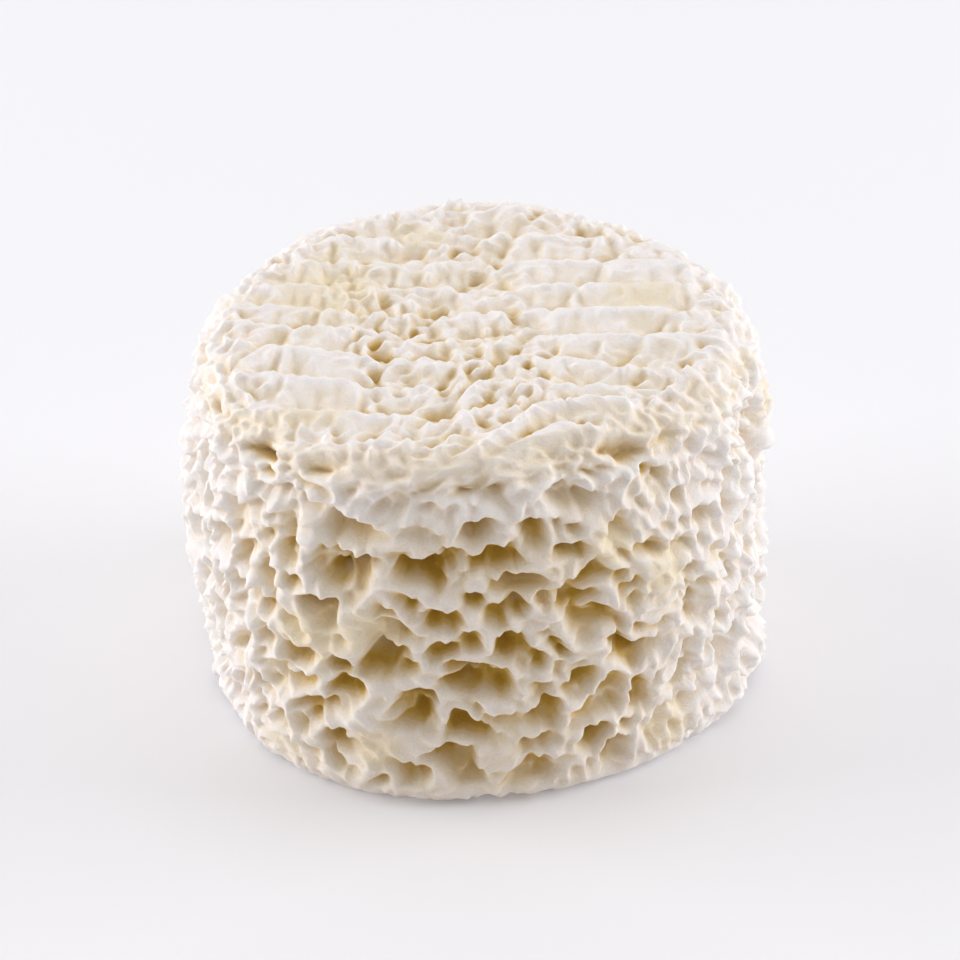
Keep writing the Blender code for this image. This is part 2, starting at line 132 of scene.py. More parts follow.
# the broad smooth folds: half width, then the angles and heights that each runs through
FOLDS = (
    (0.9, ((-31, 29.0), (-28, 25.0), (-25, 22.0), (-20, 19.4), (-17, 16.4), (-18, 13.6))),
    (0.7, ((-18, 25.8), (-16, 23.0), (-11, 20.6), (-3, 19.0), (3, 18.0))),
    (0.8, ((-14, 11.2), (-16, 8.0), (-18, 5.0))),
    (0.45, ((23, 27.2), (24, 24.8), (28, 22.8))),
    (0.1, ((33, 24.4), (38, 21.8), (40, 18.6), (39, 15.6))),
    (0.7, ((2, 22.8), (8, 23.4), (15, 23.6), (22, 23.0))),
    (1.5, ((85, 30.5), (88, 23.0))),
    (1.2, ((71, 3.6), (79, 2.4))),
)

# ---------------------------------------------------------------- the flat ends
FACE_CALM = 0.8              # how much of its relief a flat end keeps
RIM_CALM = 0.2               # and how much less of it near the rim, between these radii
RIM_CALM_BAND = (15, 23)
BAR_PITCH = 4.5              # from one bar of the mat's print to the next
BAR_OFFSET = 2.2             # where a bar crosses the middle line
BAR_SLOPE = -0.067           # rise of the bars towards +X
BAR_RELIEF = 1.2             # height of a bar
CREASE_PITCH = 11.2          # from one diagonal crease to the next, along a bar
CREASE_OFFSET = -4.4         # where a crease crosses the middle line
CREASE_SLOPE = 1.75          # rise of the creases towards +X
CREASE_DEPTH = 0.7
BEAD_SIZE = (3.3, 4.5)       # the lumps that the bars break into near the middle
BEAD_DEPTH = 1.0
GROOVE_DEPTH = 0.55          # of the grooves that wind between them
RIB_SIZE = (1.3, 6.0)        # from one short rib on a bar's front to the next, and its length
RIB_HEIGHT = 0.28
FACE_CRINKLE_DEPTH = 0.55
# two long curved ridges near the front of the top: x and y that each runs through
RIDGES = (
    ((0.0, -25.0), (4.4, -20.4), (7.4, -17.2), (10.8, -16.0), (15.0, -16.4)),
    ((3.0, -25.0), (6.0, -22.4), (9.4, -20.4), (14.4, -20.6)),
)
RIDGE_HEIGHT = 0.8
DITCH_DEPTH = 0.35           # of the ditch along each ridge, how far out it is, and its width
DITCH_OUT = 1.5
DITCH_WIDTH = 0.45
UNDERSIDE_LIFT = 0.45        # how much of the print's height the floor has pressed flat

# ---------------------------------------------------------------- the fine mesh
PIECE = "crottin_rind"
FINE_MESH = 0.21             # edge of the even mesh that takes the relief
TRIANGLES = 194000           # what the piece keeps of it

# ---------------------------------------------------------------- the mesh's own measures
NARROW_ROUNDS = 7            # averaging that takes out the crinkles
WIDE_ROUNDS = 90             # averaging that takes out the large hollows too
GROOVE_WEIGHT = 1.6          # of a narrow groove in the depth, where a wide hollow has 1
# rays that feel how much of the sky the rind shuts off over itself: the material paints that as
# shade
SKY_SEED = 61
SKY_SETS = 64                # sets of random rays that feel for the sky
SKY_RAYS = 12                # rays in a set
SKY_SPREAD = 0.98            # how far they turn from straight out
SKY_START = 0.06             # how far over the rind they start, and how far they reach
SKY_REACH = 6.0
# bands that a measure changes in: distance from the front in degrees, then depths under the
# top, and heights over the foot
FRONT_BAND = (20, 60)
TOP_BAND = (5, 2)
FRONT_SIDE_SHADE_BAND = (8, 3)
HEM_BAND = (11, 5)
FOOT_BAND = (4, 10)
TOP_GAIN = 1.45              # how strongly a hollow darkens on top, where 1 is the front
FLANK_GAIN = 0.5             # and on the flanks and behind
FOOT_GAIN = 0.7              # and how much of that is left by the foot
HEM_GAIN = 0.36              # and below the rim
OCHRE_GAIN = 1.5             # and how strongly one does in the hollows that cut into the rim
OCHRE_PLACES = ((35, 31.0, 4.2), (-41, 31.8, 4.0))    # their angle, height and reach
FRONT_SIDE_SHADE_LIFT = 0.17            # painted shade: how much deeper in the tones the front is than the flanks, as it faces the dim side of the room
# places without bloom: on the side angle, height and reach, and on top x, y and both reaches
WAXY_SIDE = (
    (40, 3.6, 3.4), (-19, 17.0, 3.4), (-30, 16.0, 4.0), (-18, 5.8, 2.8), (26, 24.0, 2.8),
    (38, 20.0, 3.0), (86, 27.0, 3.5),
)
WAXY_TOP = (
    (-13.0, 6.0, 6.5, 7.5), (-5.5, 16.6, 4.6, 2.2), (-14.0, -17.0, 5.0, 2.0), (15.0, 4.0, 5.0, 3.0),
)

# ---------------------------------------------------------------- the rind's material
# linear colours, from the top of a ridge to the bottom of a deep hollow: the rind's own tan and
# ochre, which also carry the painted shade of sheltered places and of the front
RIND_AND_SHADE_TONES = (
    (0.0, (0.90, 0.845, 0.825, 1)),
    (0.25, (0.87, 0.78, 0.675, 1)),
    (0.48, (0.80, 0.69, 0.525, 1)),
    (0.70, (0.735, 0.575, 0.35, 1)),
    (0.86, (0.645, 0.45, 0.15, 1)),
    (1.0, (0.52, 0.32, 0.035, 1)),
)
TONE_SPAN = (-0.12, 0.8)     # the depths, with the painted shade added, that the tones run between
BAR_FRONT_TONE_AND_SHADE = (0.88, 0.775, 0.61, 1)     # of the fronts of the bars on top: creamy, with painted shade, as they face away from the light
BLOOM_TONE = (0.90, 0.88, 0.87, 1)
WAX_TONE = (0.885, 0.765, 0.55, 1)
POWDER_TONE = (0.95, 0.94, 0.93, 1)
SHADE_TONE = (0.62, 0.55, 0.47, 1)
BAR_FRONT_TONE_AND_SHADE_SHARE = 0.75           # how far each of these covers what lies under it
BLOOM_SHARE = 0.85
WAX_SHARE = 0.85
CHANCE_WAX_SHARE = 0.55      # of the waxy patches that fall at random
PATCH_MM = 7.0               # sizes of the random patches, mottles, grains, powder and lumps
MOTTLE_MM = 1.2
GRAIN_MM = 0.22
POWDER_MM = 0.17
LUMP_MM = 0.6
HOLLOW_WEIGHT = 0.09         # of each mm of hollow, and of the mottles and patches, in the tone
MOTTLE_WEIGHT = 0.12
PATCH_WEIGHT = 0.15
ROUGHNESS = 0.72             # how much of it wax takes off, and grain adds
WAX_SHINE = 0.27
GRAIN_ROUGHNESS = 0.25
LUMP_BUMP = (0.5, 0.16)      # strength and height in mm
GRAIN_BUMP = (0.55, 0.05)
SCATTER_WEIGHT = 0.6
SCATTER_COLOURS = (1.0, 0.60, 0.28)
SCATTER_MM = 0.35
SPECULAR = 0.35
IOR = 1.42

# ---------------------------------------------------------------- studio
FLOOR_SIZE = 6.0
FLOOR_COLOUR = (0.79, 0.787, 0.802, 1)
FLOOR_GLOW = (0.11, 0.109, 0.118, 1)    # it is lit a little from under it, as a light table is
FLOOR_ROUGHNESS = 0.7
FLOOR_SPECULAR = 0.2
WORLD_STRENGTH = 0.68
# the room's light from the front (-Y), and from all the rest, and where one gives way to the
# other, from 0 in front to 1 behind
WORLD_COLOURS = ((0.44, 0.40, 0.33, 1), (0.98, 0.98, 1.0, 1))
WORLD_BAND = (0.05, 0.45)
# name, place, size, power and colour of each soft box
LIGHTS = (
    ("above", (0.08, 0.10, 1.35), 1.0, 2.75, (0.985, 0.975, 1.0)),
    ("left", (-0.64, 0.06, 0.22), 0.45, 2.65, (0.99, 0.985, 1.0)),
    ("right", (0.64, 0.10, 0.22), 0.45, 2.45, (0.99, 0.985, 1.0)),
)
CAMERA_LENS = 135
CAMERA_ELEVATION = 30.5      # degrees above the level
CAMERA_DISTANCE = 0.323
CAMERA_AIM = (0.00025, 0.0, 0.01675)


def smooth(low, high, value):
    """0 below low, 1 above high, and an even curve between them."""
    part = np.clip((value - low) / (high - low), 0, 1)
    return part * part * (3 - 2 * part)


def blur(sheet, size):
    """A sheet softened by a Gaussian of this size, in millimetres; its edges meet."""
    across = np.fft.rfftfreq(sheet.shape[1], GRID)
    along = np.fft.fftfreq(sheet.shape[0], GRID)
    keep = np.exp(-2 * (math.pi * size) ** 2 * (across[None, :] ** 2 + along[:, None] ** 2))
    return np.fft.irfft2(np.fft.rfft2(sheet) * keep, s=sheet.shape)


def noise(shape, size, seed):
    """Random waves about this wide, in millimetres, with a mean of 0 and a spread of 1."""
    waves = blur(np.random.default_rng(seed).standard_normal(shape), size)
    return (waves - waves.mean()) / waves.std()


def wrinkles(shape, size, seed, spread=0.3):
    """Random waves of one length, with crests this far apart across and up: mean 0, spread 1."""
    across = np.fft.rfftfreq(shape[1], GRID) * size[0]
    along = np.fft.fftfreq(shape[0], GRID) * size[1]
    pace = np.hypot(across[None, :], along[:, None])
    keep = np.exp(-0.5 * ((pace - 1) / spread) ** 2)
    waves = np.random.default_rng(seed).standard_normal(shape)
    waves = np.fft.irfft2(np.fft.rfft2(waves) * keep, s=shape)
    return waves / waves.std()


def worms(shape, size, seed, half_width=0.25, fade=0.55):
    """Thin winding ridges of an even width, 1 on their crests: where the waves cross 0."""
    waves = wrinkles(shape, size, seed)
    slope = np.hypot(*np.gradient(waves, GRID))
    return 1 - smooth(half_width, half_width + fade, np.abs(waves) / np.maximum(slope, 0.25))


def fine_wrinkles(shape, seed):
    """The finest wrinkles, in mm: how deep the skin lies between them."""
    size = (2 * WRINKLE_SIZE[0], 2 * WRINKLE_SIZE[1])
    return WRINKLE_DEPTH * (1 - worms(shape, size, seed, half_width=0.1, fade=0.35))


def hollows(u, v, size, seed, turn=(0, 90), stretch=0.8, crest=0.15, reach=0.4):
    """A network of rounded ridges, 0, round hollows of every depth down to 1.

    size is the width and height of a hollow, turn the middle and spread of the way its
    longer side points, crest the half width of a ridge and reach that of a wall.
    """
    rng = np.random.default_rng(seed)
    columns = round(COLUMNS * GRID / size[0])
    rows = round(ROWS * GRID / size[1])
    cell = (COLUMNS * GRID / columns, ROWS * GRID / rows)
    shift_u, shift_v = rng.uniform(-0.42, 0.42, (2, rows, columns))
    way = np.radians(turn[0] + turn[1] * rng.uniform(-1, 1, (rows, columns)))
    long = (1 + stretch) ** rng.uniform(0.2, 1, (rows, columns))
    large = rng.uniform(0.75, 1.4, (rows, columns))
    deep = rng.uniform(0.3, 1, (rows, columns))

    cell_u, cell_v = u / cell[0], v / cell[1]
    first_u, first_v = np.floor(cell_u).astype(int), np.floor(cell_v).astype(int)
    nearest, second = np.full(u.shape, 9.0), np.full(u.shape, 9.0)
    depth = np.zeros(u.shape)
    for j in range(-2, 3):
        for i in range(-2, 3):
            at = ((first_v + j) % rows, (first_u + i) % columns)
            across = cell_u - (first_u + i + 0.5 + shift_u[at])
            along = cell_v - (first_v + j + 0.5 + shift_v[at])
            c, s = np.cos(way[at]), np.sin(way[at])
            far = np.hypot((c * across + s * along) / long[at], (c * along - s * across) * long[at])
            far = far / large[at]
            closer = far < nearest
            second = np.where(closer, nearest, np.minimum(second, far))
            depth = np.where(closer, deep[at], depth)
            nearest = np.where(closer, far, nearest)
    edge = 0.5 * (second - nearest) * min(cell)
    wall = 0.8 * smooth(crest, crest + reach, edge) + 0.2 * smooth(crest, crest + 2.5 * reach, edge)
    return depth * wall


def distance_to_path(u, v, path):
    """How far each point of a sheet is from a path of straight runs."""
    best = np.full(u.shape, 1e3)
    for (u0, v0), (u1, v1) in zip(path, path[1:]):
        run_u, run_v = u1 - u0, v1 - v0
        part = np.clip(((u - u0) * run_u + (v - v0) * run_v) / (run_u ** 2 + run_v ** 2), 0, 1)
        best = np.minimum(best, np.hypot(u - u0 - part * run_u, v - v0 - part * run_v))
    return best


def capped(relief):
    """The relief with its highest places eased down, so that none stands much too proud."""
    return relief - CAP_EASE * np.logaddexp(0, (relief - PROUDEST) / CAP_EASE)


def upright_furrows(u):
    """Wavering furrows that run up and down the wall, about 0 in the middle."""
    wander = 1.8 * noise(u.shape, 6, 25)
    lines = noise((2, COLUMNS), 0.9, 24)[0]
    return np.interp((u + wander) / GRID, np.arange(COLUMNS), lines, period=COLUMNS)


def add_folds(relief, warped):
    """The side's relief with the broad folds laid over it."""
    for half_width, path in FOLDS:
        path = [((a + 180) / 360 * GIRTH, h - SIDE_START) for a, h in path]
        land = 1 - smooth(half_width, half_width + LAND_FADE, distance_to_path(*warped, path))
        relief = relief * (1 - LAND_COVER * land) + LAND_RISE * land
    return relief


def add_deep_hollows(relief, angle, height, warp):
    """The side's relief with the deep hollows sunk in it, each with its raised lip."""
    uneven = 1 + 0.2 * noise(relief.shape, 0.7, 18)
    for at_angle, at_height, wide, tall, tilt, depth in HOLLOWS:
        across = (angle - at_angle) / 360 * GIRTH + 0.5 * warp[0]
        along = height - at_height + 0.5 * warp[1]
        c, s = math.cos(math.radians(tilt)), math.sin(math.radians(tilt))
        far = np.hypot(2 * (c * across + s * along) / wide, 2 * (c * along - s * across) / tall)
        far = far * uneven
        bowl = 1 - 0.75 * smooth(0.6, 1.1, far) - 0.25 * smooth(0, 0.9, far)
        lip = smooth(0.8, 1.15, far) * (1 - smooth(1.35, 1.9, far))
        relief = relief * (1 - 0.3 * bowl) * (1 - 0.5 * lip) - 0.8 * depth * bowl
    return relief


def side_sheet():
    """The relief round the side, in mm: column 0 is at the back, the middle one at the front."""
    u, v = np.meshgrid(np.arange(COLUMNS) * GRID, np.arange(ROWS) * GRID)
    angle = 360 * u / GIRTH - 180
    height = v + SIDE_START
    (bend, width), (fine_bend, fine_width) = WARPS
    warp_u = bend * noise(u.shape, width, 11) + fine_bend * noise(u.shape, fine_width, 13)
    warp_v = bend * noise(u.shape, width, 12) + fine_bend * noise(u.shape, fine_width, 14)
    warped = (u + warp_u, v + warp_v)

    # large hollows in front and in patches behind, small ones with upright furrows elsewhere
    large = FOLD_DEPTH * hollows(*warped, FOLD_SIZE, 21, turn=(0, 60), stretch=0.35, crest=0.14,
                                 reach=0.75)
    small = PIT_DEPTH * hollows(*warped, PIT_SIZE, 22, turn=(90, 40), stretch=0.4, crest=0.08,
                                reach=0.6)
    small = small + FURROW_DEPTH * (1 + upright_furrows(u))
    middle, reach, fade = FRONT_FOLDS
    front = 1 - smooth(reach - fade, reach + fade, np.abs(angle - middle))
    behind = smooth(80, 110, np.abs(angle)) * smooth(-0.3, 0.8, noise(u.shape, 7, 15))
    share = np.maximum(front, behind)
    crinkle = hollows(u + 0.6 * warp_v, v + 0.6 * warp_u, CRINKLE_SIZE, 23, crest=0.03)
    crinkle = CRINKLE_DEPTH * crinkle * smooth(-1.2, 0.8, noise(u.shape, 3, 16))
    hem = smooth(*HEM, height)
    relief = -(share * large + (1 - share) * small) * (1 - HEM_CALM * hem)
    relief = relief - crinkle * (1 - 0.4 * hem)
    relief = relief * (1 - FOOT_CALM * (1 - smooth(*FOOT_RISE, height)))

    # thin winding ridges, the broad folds and the deep hollows over it
    worm = worms(u.shape, WORM_SIZE, 27) * smooth(-0.9, 0.5, noise(u.shape, 3, 28))
    relief = relief * (1 - WORM_CALM * worm)
    relief = add_folds(relief, warped)
    relief = add_deep_hollows(relief, angle, height, (warp_u, warp_v))

    # the slow swelling, and what is too fine for the solid
    waves = WAVE_HEIGHT * noise(u.shape, WAVE_SIZE, 17) * smooth(1, 6, height)
    pores = PORE_DEPTH * hollows(u + warp_v, v + warp_u, PORE_SIZE, 29, crest=0.08)
    pores = pores * smooth(-1.1, 0.5, noise(u.shape, 2.6, 30))
    pores = pores * (1 - 0.15 * smooth(0.8, 2.2, -relief))
    return blur(capped(relief + waves) - pores, SIDE_SOFTNESS) - fine_wrinkles(u.shape, 26)


def face_sheet(seed, with_ridges):
    """The relief of a flat end, in mm, with x along the columns and y along the rows."""
    axis = np.arange(-FACE_SPAN, FACE_SPAN, GRID)
    x, y = np.meshgrid(axis, axis)
    warp_x, warp_y = 0.7 * noise(x.shape, 2.4, seed + 1), 0.6 * noise(x.shape, 2.4, seed + 2)

    # the bars are plain at the two sides, and break up into beads near the middle
    plain = smooth(7, 11, np.abs(x + 1.0 + 0.25 * (y + 4)))
    plain = plain * (1 - smooth(17.5, 23, np.hypot(x, y)))
    plain = np.clip(plain + 0.25 * noise(x.shape, 2.5, seed + 3), 0, 1)
    bend = 0.9 * warp_y * (1 - 0.6 * plain) + 0.25 * noise(x.shape, 5, seed + 11)
    row = (y - BAR_OFFSET - BAR_SLOPE * x + bend) / BAR_PITCH
    below = np.ceil(row) - row                       # 0 on a bar's crest, towards 1 in front of it
    bars = 1 - np.clip((below - 0.02) / 0.75, 0, 1) ** 1.2 + smooth(0.8, 1.0, below)

    beads = hollows(x + FACE_SPAN + warp_x, (row + 14) * BAR_PITCH, BEAD_SIZE, seed + 4,
                    turn=(60, 60), stretch=0.5, crest=0.05, reach=0.6)
    crinkle = hollows(x + FACE_SPAN + 0.6 * warp_y, y + FACE_SPAN + 0.6 * warp_x, CRINKLE_SIZE,
                      seed + 5, turn=(70, 40), crest=0.03, reach=0.45)
    relief = BAR_RELIEF * (bars - 1) * (0.5 + 0.7 * plain)
    relief = relief - BEAD_DEPTH * beads * (1 - 0.92 * plain)
    relief = relief - FACE_CRINKLE_DEPTH * crinkle * (1 - 0.7 * plain)

    # thin grooves wind between the beads, and short ribs stand on the fronts of the plain bars
    groove = worms(x.shape, WORM_SIZE, seed + 8, 0.05, 0.4) * (1 - 0.95 * plain)
    front = smooth(0.02, 0.3, below) * (1 - smooth(0.7, 0.9, below))
    ribs = RIB_HEIGHT * wrinkles(x.shape, RIB_SIZE, seed + 9, 0.4) * front
    relief = relief - GROOVE_DEPTH * groove + ribs

    # diagonal creases, here and there
    crossing = (x - (y + warp_y) / CREASE_SLOPE - CREASE_OFFSET) / CREASE_PITCH
    apart = np.abs(crossing - np.round(crossing)) * CREASE_PITCH
    apart = apart * math.sin(math.atan(CREASE_SLOPE))
    crease = (1 - smooth(0.05, 0.8, apart)) * smooth(-0.8, 0.6, noise(x.shape, 4, seed + 6))
    relief = relief - CREASE_DEPTH * crease

    # the slow swelling, and what is too fine for the solid
    waves = WAVE_HEIGHT * noise(x.shape, WAVE_SIZE, seed + 7)
    fine = fine_wrinkles(x.shape, seed + 10) * (1 - 0.6 * plain)
    pores = hollows(x + FACE_SPAN + warp_y, y + FACE_SPAN + warp_x, PORE_SIZE, seed + 12,
                    crest=0.08)
    pores = PORE_DEPTH * pores * (1 - 0.8 * plain)
    if with_ridges:
        for path in RIDGES:
            far = distance_to_path(x + 0.4 * warp_x, y + 0.4 * warp_y, path)
            relief = relief * (0.2 + 0.8 * smooth(0.3, 1.6, far))
            relief = relief + RIDGE_HEIGHT * (1 - smooth(0.1, 1.0, far))
            relief = relief - DITCH_DEPTH * np.exp(-((far - DITCH_OUT) / DITCH_WIDTH) ** 2)
            pores = pores * smooth(0.5, 1.8, far)
    calm = FACE_CALM - RIM_CALM * smooth(*RIM_CALM_BAND, np.hypot(x, y))
    return calm * blur(capped(relief + waves) - pores, FACE_SOFTNESS) - fine


def read_sheet(sheet, column, row, wraps=False):
    """The sheet's value between its grid points."""
    low_c, low_r = np.floor(column).astype(int), np.floor(row).astype(int)
    part_c, part_r = column - low_c, row - low_r
    rows = np.clip(low_r, 0, sheet.shape[0] - 2)
    left = low_c % sheet.shape[1] if wraps else np.clip(low_c, 0, sheet.shape[1] - 2)
    right = (left + 1) % sheet.shape[1]
    lower = sheet[rows, left] * (1 - part_c) + sheet[rows, right] * part_c
    upper = sheet[rows + 1, left] * (1 - part_c) + sheet[rows + 1, right] * part_c
    return lower * (1 - part_r) + upper * part_r


def lobed_radius(mean, lobes, turn):
    """A radius that goes in and out with the angle."""
    radius = np.full_like(turn, mean)
    for count, (cosine, sine) in enumerate(lobes, start=1):
        radius = radius + cosine * np.cos(count * turn) + sine * np.sin(count * turn)
    return radius


def add_rind(points):
    """Points on the plain turned drum, in mm, moved to where the rind of the cheese is."""
    x, y, z = points.T
    turn = np.arctan2(y, x)
    out = np.hypot(x, y)
    edge = np.where(z > HEIGHT / 2, TOP_EDGE, FOOT_EDGE)

    # which way the plain drum faces: straight up, straight out, or between them on a rim
    over = np.maximum(out - (RADIUS - edge), 0)
    above = np.where(z > HEIGHT / 2, np.maximum(z - (HEIGHT - edge), 0), np.minimum(z - edge, 0))
    tip = np.arctan2(above, over)
    facing_out, facing_up = np.cos(tip), np.sin(tip)

    # how far along the surface each point is, on a flat end and on the side
    reach = np.minimum(out, RADIUS - edge) + edge * (math.pi / 2 - np.abs(tip)) * (over > 0)
    face_x, face_y = reach * np.cos(turn), reach * np.sin(turn)
    along = np.clip(z, FOOT_EDGE, HEIGHT - TOP_EDGE) + edge * tip
    column = (((turn + math.pi / 2) / (2 * math.pi) + 0.5) % 1) * COLUMNS

    side = read_sheet(side_sheet(), column, (along - SIDE_START) / GRID, wraps=True)
    face_place = ((face_x + FACE_SPAN) / GRID, (face_y + FACE_SPAN) / GRID)
    top = read_sheet(face_sheet(TOP_SEED, with_ridges=True), *face_place)
    foot = read_sheet(face_sheet(FOOT_SEED, with_ridges=False), *face_place)
    foot = np.minimum(foot + UNDERSIDE_LIFT, 0) * smooth(*FLAT_SPOT, out)

    top_share = smooth(0.4, 0.95, facing_up)
    foot_share = smooth(0.5, 0.95, -facing_up)
    side_share = 1 - top_share - foot_share
    push = side_share * side + top_share * top + foot_share * foot

    out = out + push * facing_out
    droop = DROOP * side_share * (1 - smooth(*HEM, along))
    z = z + push * facing_up - droop * push * facing_out

    # out of round, tapered and bulging, more so towards the wall
    level = np.clip(z / HEIGHT, 0, 1)
    wall = (1 - level) * lobed_radius(FOOT_RADIUS, FOOT_LOBES, turn)
    wall = wall + level * lobed_radius(TOP_RADIUS, TOP_LOBES, turn)
    wall = wall + 4 * BULGE * level * (1 - level)
    out = out + (wall - RADIUS) * smooth(0, RADIUS, out)
    return np.stack([out * np.cos(turn), out * np.sin(turn), z], axis=1)


def turned_drum():
    """The plain drum: half its section, turned once round."""
    steps = np.linspace(0, math.pi / 2, EDGE_STEPS + 1)
    profile = [(0.0, HEIGHT)]
    for t in steps:
        out, down = TOP_EDGE * (1 - math.sin(t)), TOP_EDGE * (1 - math.cos(t))
        profile.append((RADIUS - out, HEIGHT - down))
    for t in steps:
        out, down = FOOT_EDGE * (1 - math.cos(t)), FOOT_EDGE * (1 - math.sin(t))
        profile.append((RADIUS - out, down))
    profile.append((0.0, 0.0))
    mesh = bpy.data.meshes.new(PIECE)
    edges = [(i, i + 1) for i in range(len(profile) - 1)]
    mesh.from_pydata([(r * MM, 0, z * MM) for r, z in profile], edges, [])
    drum = bpy.data.objects.new(PIECE, mesh)
    bpy.context.scene.collection.objects.link(drum)
    screw = drum.modifiers.new("turn", "SCREW")
    screw.steps = screw.render_steps = TURN_STEPS
    screw.use_merge_vertices = True
    screw.merge_threshold = 0.00001
    remesh = drum.modifiers.new("even mesh", "REMESH")
    remesh.mode = "VOXEL"
    remesh.voxel_size = FINE_MESH * MM
    return drum


def apply_modifiers(thing):
    """The object's mesh as its modifiers leave it, in place of the one under them."""
    graph = bpy.context.evaluated_depsgraph_get()
    mesh = bpy.data.meshes.new_from_object(thing.evaluated_get(graph))
    thing.modifiers.clear()
    thing.data = mesh


def read_points(mesh):
    """The mesh's points, in mm."""
    points = np.empty(len(mesh.vertices) * 3)
    mesh.vertices.foreach_get("co", points)
    return points.reshape(-1, 3) / MM


def write_points(mesh, points):
    """Moves the mesh's points to these places, in mm."""
    mesh.vertices.foreach_set("co", (points * MM).ravel())
    mesh.update()


def smoothed(values, edges, rounds):
    """Values at the mesh's points, averaged with their neighbours' this many times."""
    count = np.bincount(edges.ravel(), minlength=len(values))[:, None]
    for _ in range(rounds):
        total = values.copy()
        for column in range(values.shape[1]):
            total[:, column] += np.bincount(edges[:, 0], values[edges[:, 1], column], len(values))
            total[:, column] += np.bincount(edges[:, 1], values[edges[:, 0], column], len(values))
        values = total / (count + 1)
    return values


def add_measure(mesh, name, values):
    """Stores one number at each of the mesh's points, for the material to read."""
    measure = mesh.attributes.new(name, "FLOAT", "POINT")
    measure.data.foreach_set("value", values.astype(np.float32))


def side_distance(angle, height, at_angle, at_height):
    """How far points of the side are from a place on it, in mm along the wall."""
    turned = (angle - at_angle + 180) % 360 - 180
    return np.hypot(turned / 360 * GIRTH, height - at_height)


def painted_shade(thing, normals, edges):
    """How much of the sky over each point other parts of the rind shut off, from 0 to 1; the
    material paints it as shade.
    """
    tree = BVHTree.FromObject(thing, bpy.context.evaluated_depsgraph_get())
    rays = np.random.default_rng(SKY_SEED).standard_normal((SKY_SETS, SKY_RAYS, 3))
    rays = rays / np.linalg.norm(rays, axis=2)[:, :, None]
    shut = np.zeros(len(normals))
    for i, vertex in enumerate(thing.data.vertices):
        start = vertex.co + Vector(normals[i] * SKY_START * MM)
        for ray in normals[i] + rays[i % SKY_SETS] * SKY_SPREAD:
            if tree.ray_cast(start, Vector(ray), SKY_REACH * MM)[0] is not None:
                shut[i] += 1
    return smoothed(shut[:, None] / SKY_RAYS, edges, 2)[:, 0]


def waxiness(points, angle, on_top):
    """How waxy the rind is at each point, from 0 to 1, in the places that are listed."""
    wax = np.zeros(len(points))
    for at_angle, at_height, reach in WAXY_SIDE:
        far = side_distance(angle, points[:, 2], at_angle, at_height)
        wax = np.maximum(wax, 1 - smooth(0.4 * reach, reach, far))
    for at_x, at_y, reach_x, reach_y in WAXY_TOP:
        far = np.hypot((points[:, 0] - at_x) / reach_x, (points[:, 1] - at_y) / reach_y)
        wax = np.maximum(wax, on_top * (1 - smooth(0.4, 1, far)))
    return wax


def hollow_gain(angle, height, facing, on_top):
    """How strongly a hollow darkens at each point: most on top, least on the flanks; more
    on the front than on the flanks as painted shade, since the front faces the dim side of the
    room.
    """
    # painted shade: hollows darker on the front, which faces the dim side of the room, than on the
    # flanks and behind
    gain = FLANK_GAIN + (1 - FLANK_GAIN) * facing
    hem = smooth(HEIGHT - HEM_BAND[0], HEIGHT - HEM_BAND[1], height)
    gain = gain * (1 - (1 - HEM_GAIN) * hem)
    gain = gain * (1 - (1 - FOOT_GAIN) * (1 - smooth(*FOOT_BAND, height)))
    gain = gain + (TOP_GAIN - gain) * on_top
    for at_angle, at_height, reach in OCHRE_PLACES:
        far = side_distance(angle, height, at_angle, at_height)
        gain = gain + (OCHRE_GAIN - gain) * (1 - smooth(0.5 * reach, reach, far))
    return gain


def measure_rind(thing):
    """Stores at each point what the material reads: how hollow the rind is there, over a narrow
    and over a wide stretch; painted shade, from how sheltered it is and from facing the dim
    front; how much a bar's front, painted creamy with shade; and how waxy.
    """
    mesh = thing.data
    points = read_points(mesh)
    edges = np.empty(len(mesh.edges) * 2, dtype=np.int32)
    mesh.edges.foreach_get("vertices", edges)
    edges = edges.reshape(-1, 2)
    normals = np.empty(len(points) * 3)
    mesh.vertex_normals.foreach_get("vector", normals)
    normals = normals.reshape(-1, 3)
    narrow = smoothed(points, edges, NARROW_ROUNDS)
    wide = smoothed(narrow, edges, WIDE_ROUNDS)
    way = smoothed(normals, edges, NARROW_ROUNDS)
    way = way / np.linalg.norm(way, axis=1)[:, None]
    groove = ((narrow - points) * way).sum(axis=1)
    hollow = ((wide - points) * way).sum(axis=1)

    angle = np.degrees(np.arctan2(points[:, 0], -points[:, 1]))
    height = points[:, 2]
    facing = 1 - smooth(*FRONT_BAND, np.abs(angle))
    on_top = smooth(HEIGHT - TOP_BAND[0], HEIGHT - TOP_BAND[1], height)
    # painted shade on the side that faces the dim front of the room, below the top
    front_side_shade = facing * (1 - smooth(HEIGHT - FRONT_SIDE_SHADE_BAND[0], HEIGHT - FRONT_SIDE_SHADE_BAND[1], height))
    gain = hollow_gain(angle, height, facing, on_top)
    shut = painted_shade(thing, normals, edges)
    add_measure(mesh, "groove", groove)
    # painted shade: the sky that the rind shuts off over itself, more where hollows darken more,
    # and the dim front
    add_measure(mesh, "painted_shade", shut * gain + FRONT_SIDE_SHADE_LIFT * front_side_shade)
    add_measure(mesh, "depth", (hollow + GROOVE_WEIGHT * groove) * gain)
    add_measure(mesh, "front_side_shade", front_side_shade)
    # the bars' faces turned to -Y, away from the light: a creamy tone with painted shade
    add_measure(mesh, "front", on_top * smooth(0.1, 0.4, -way[:, 1]))
    add_measure(mesh, "wax", waxiness(points, angle, on_top))


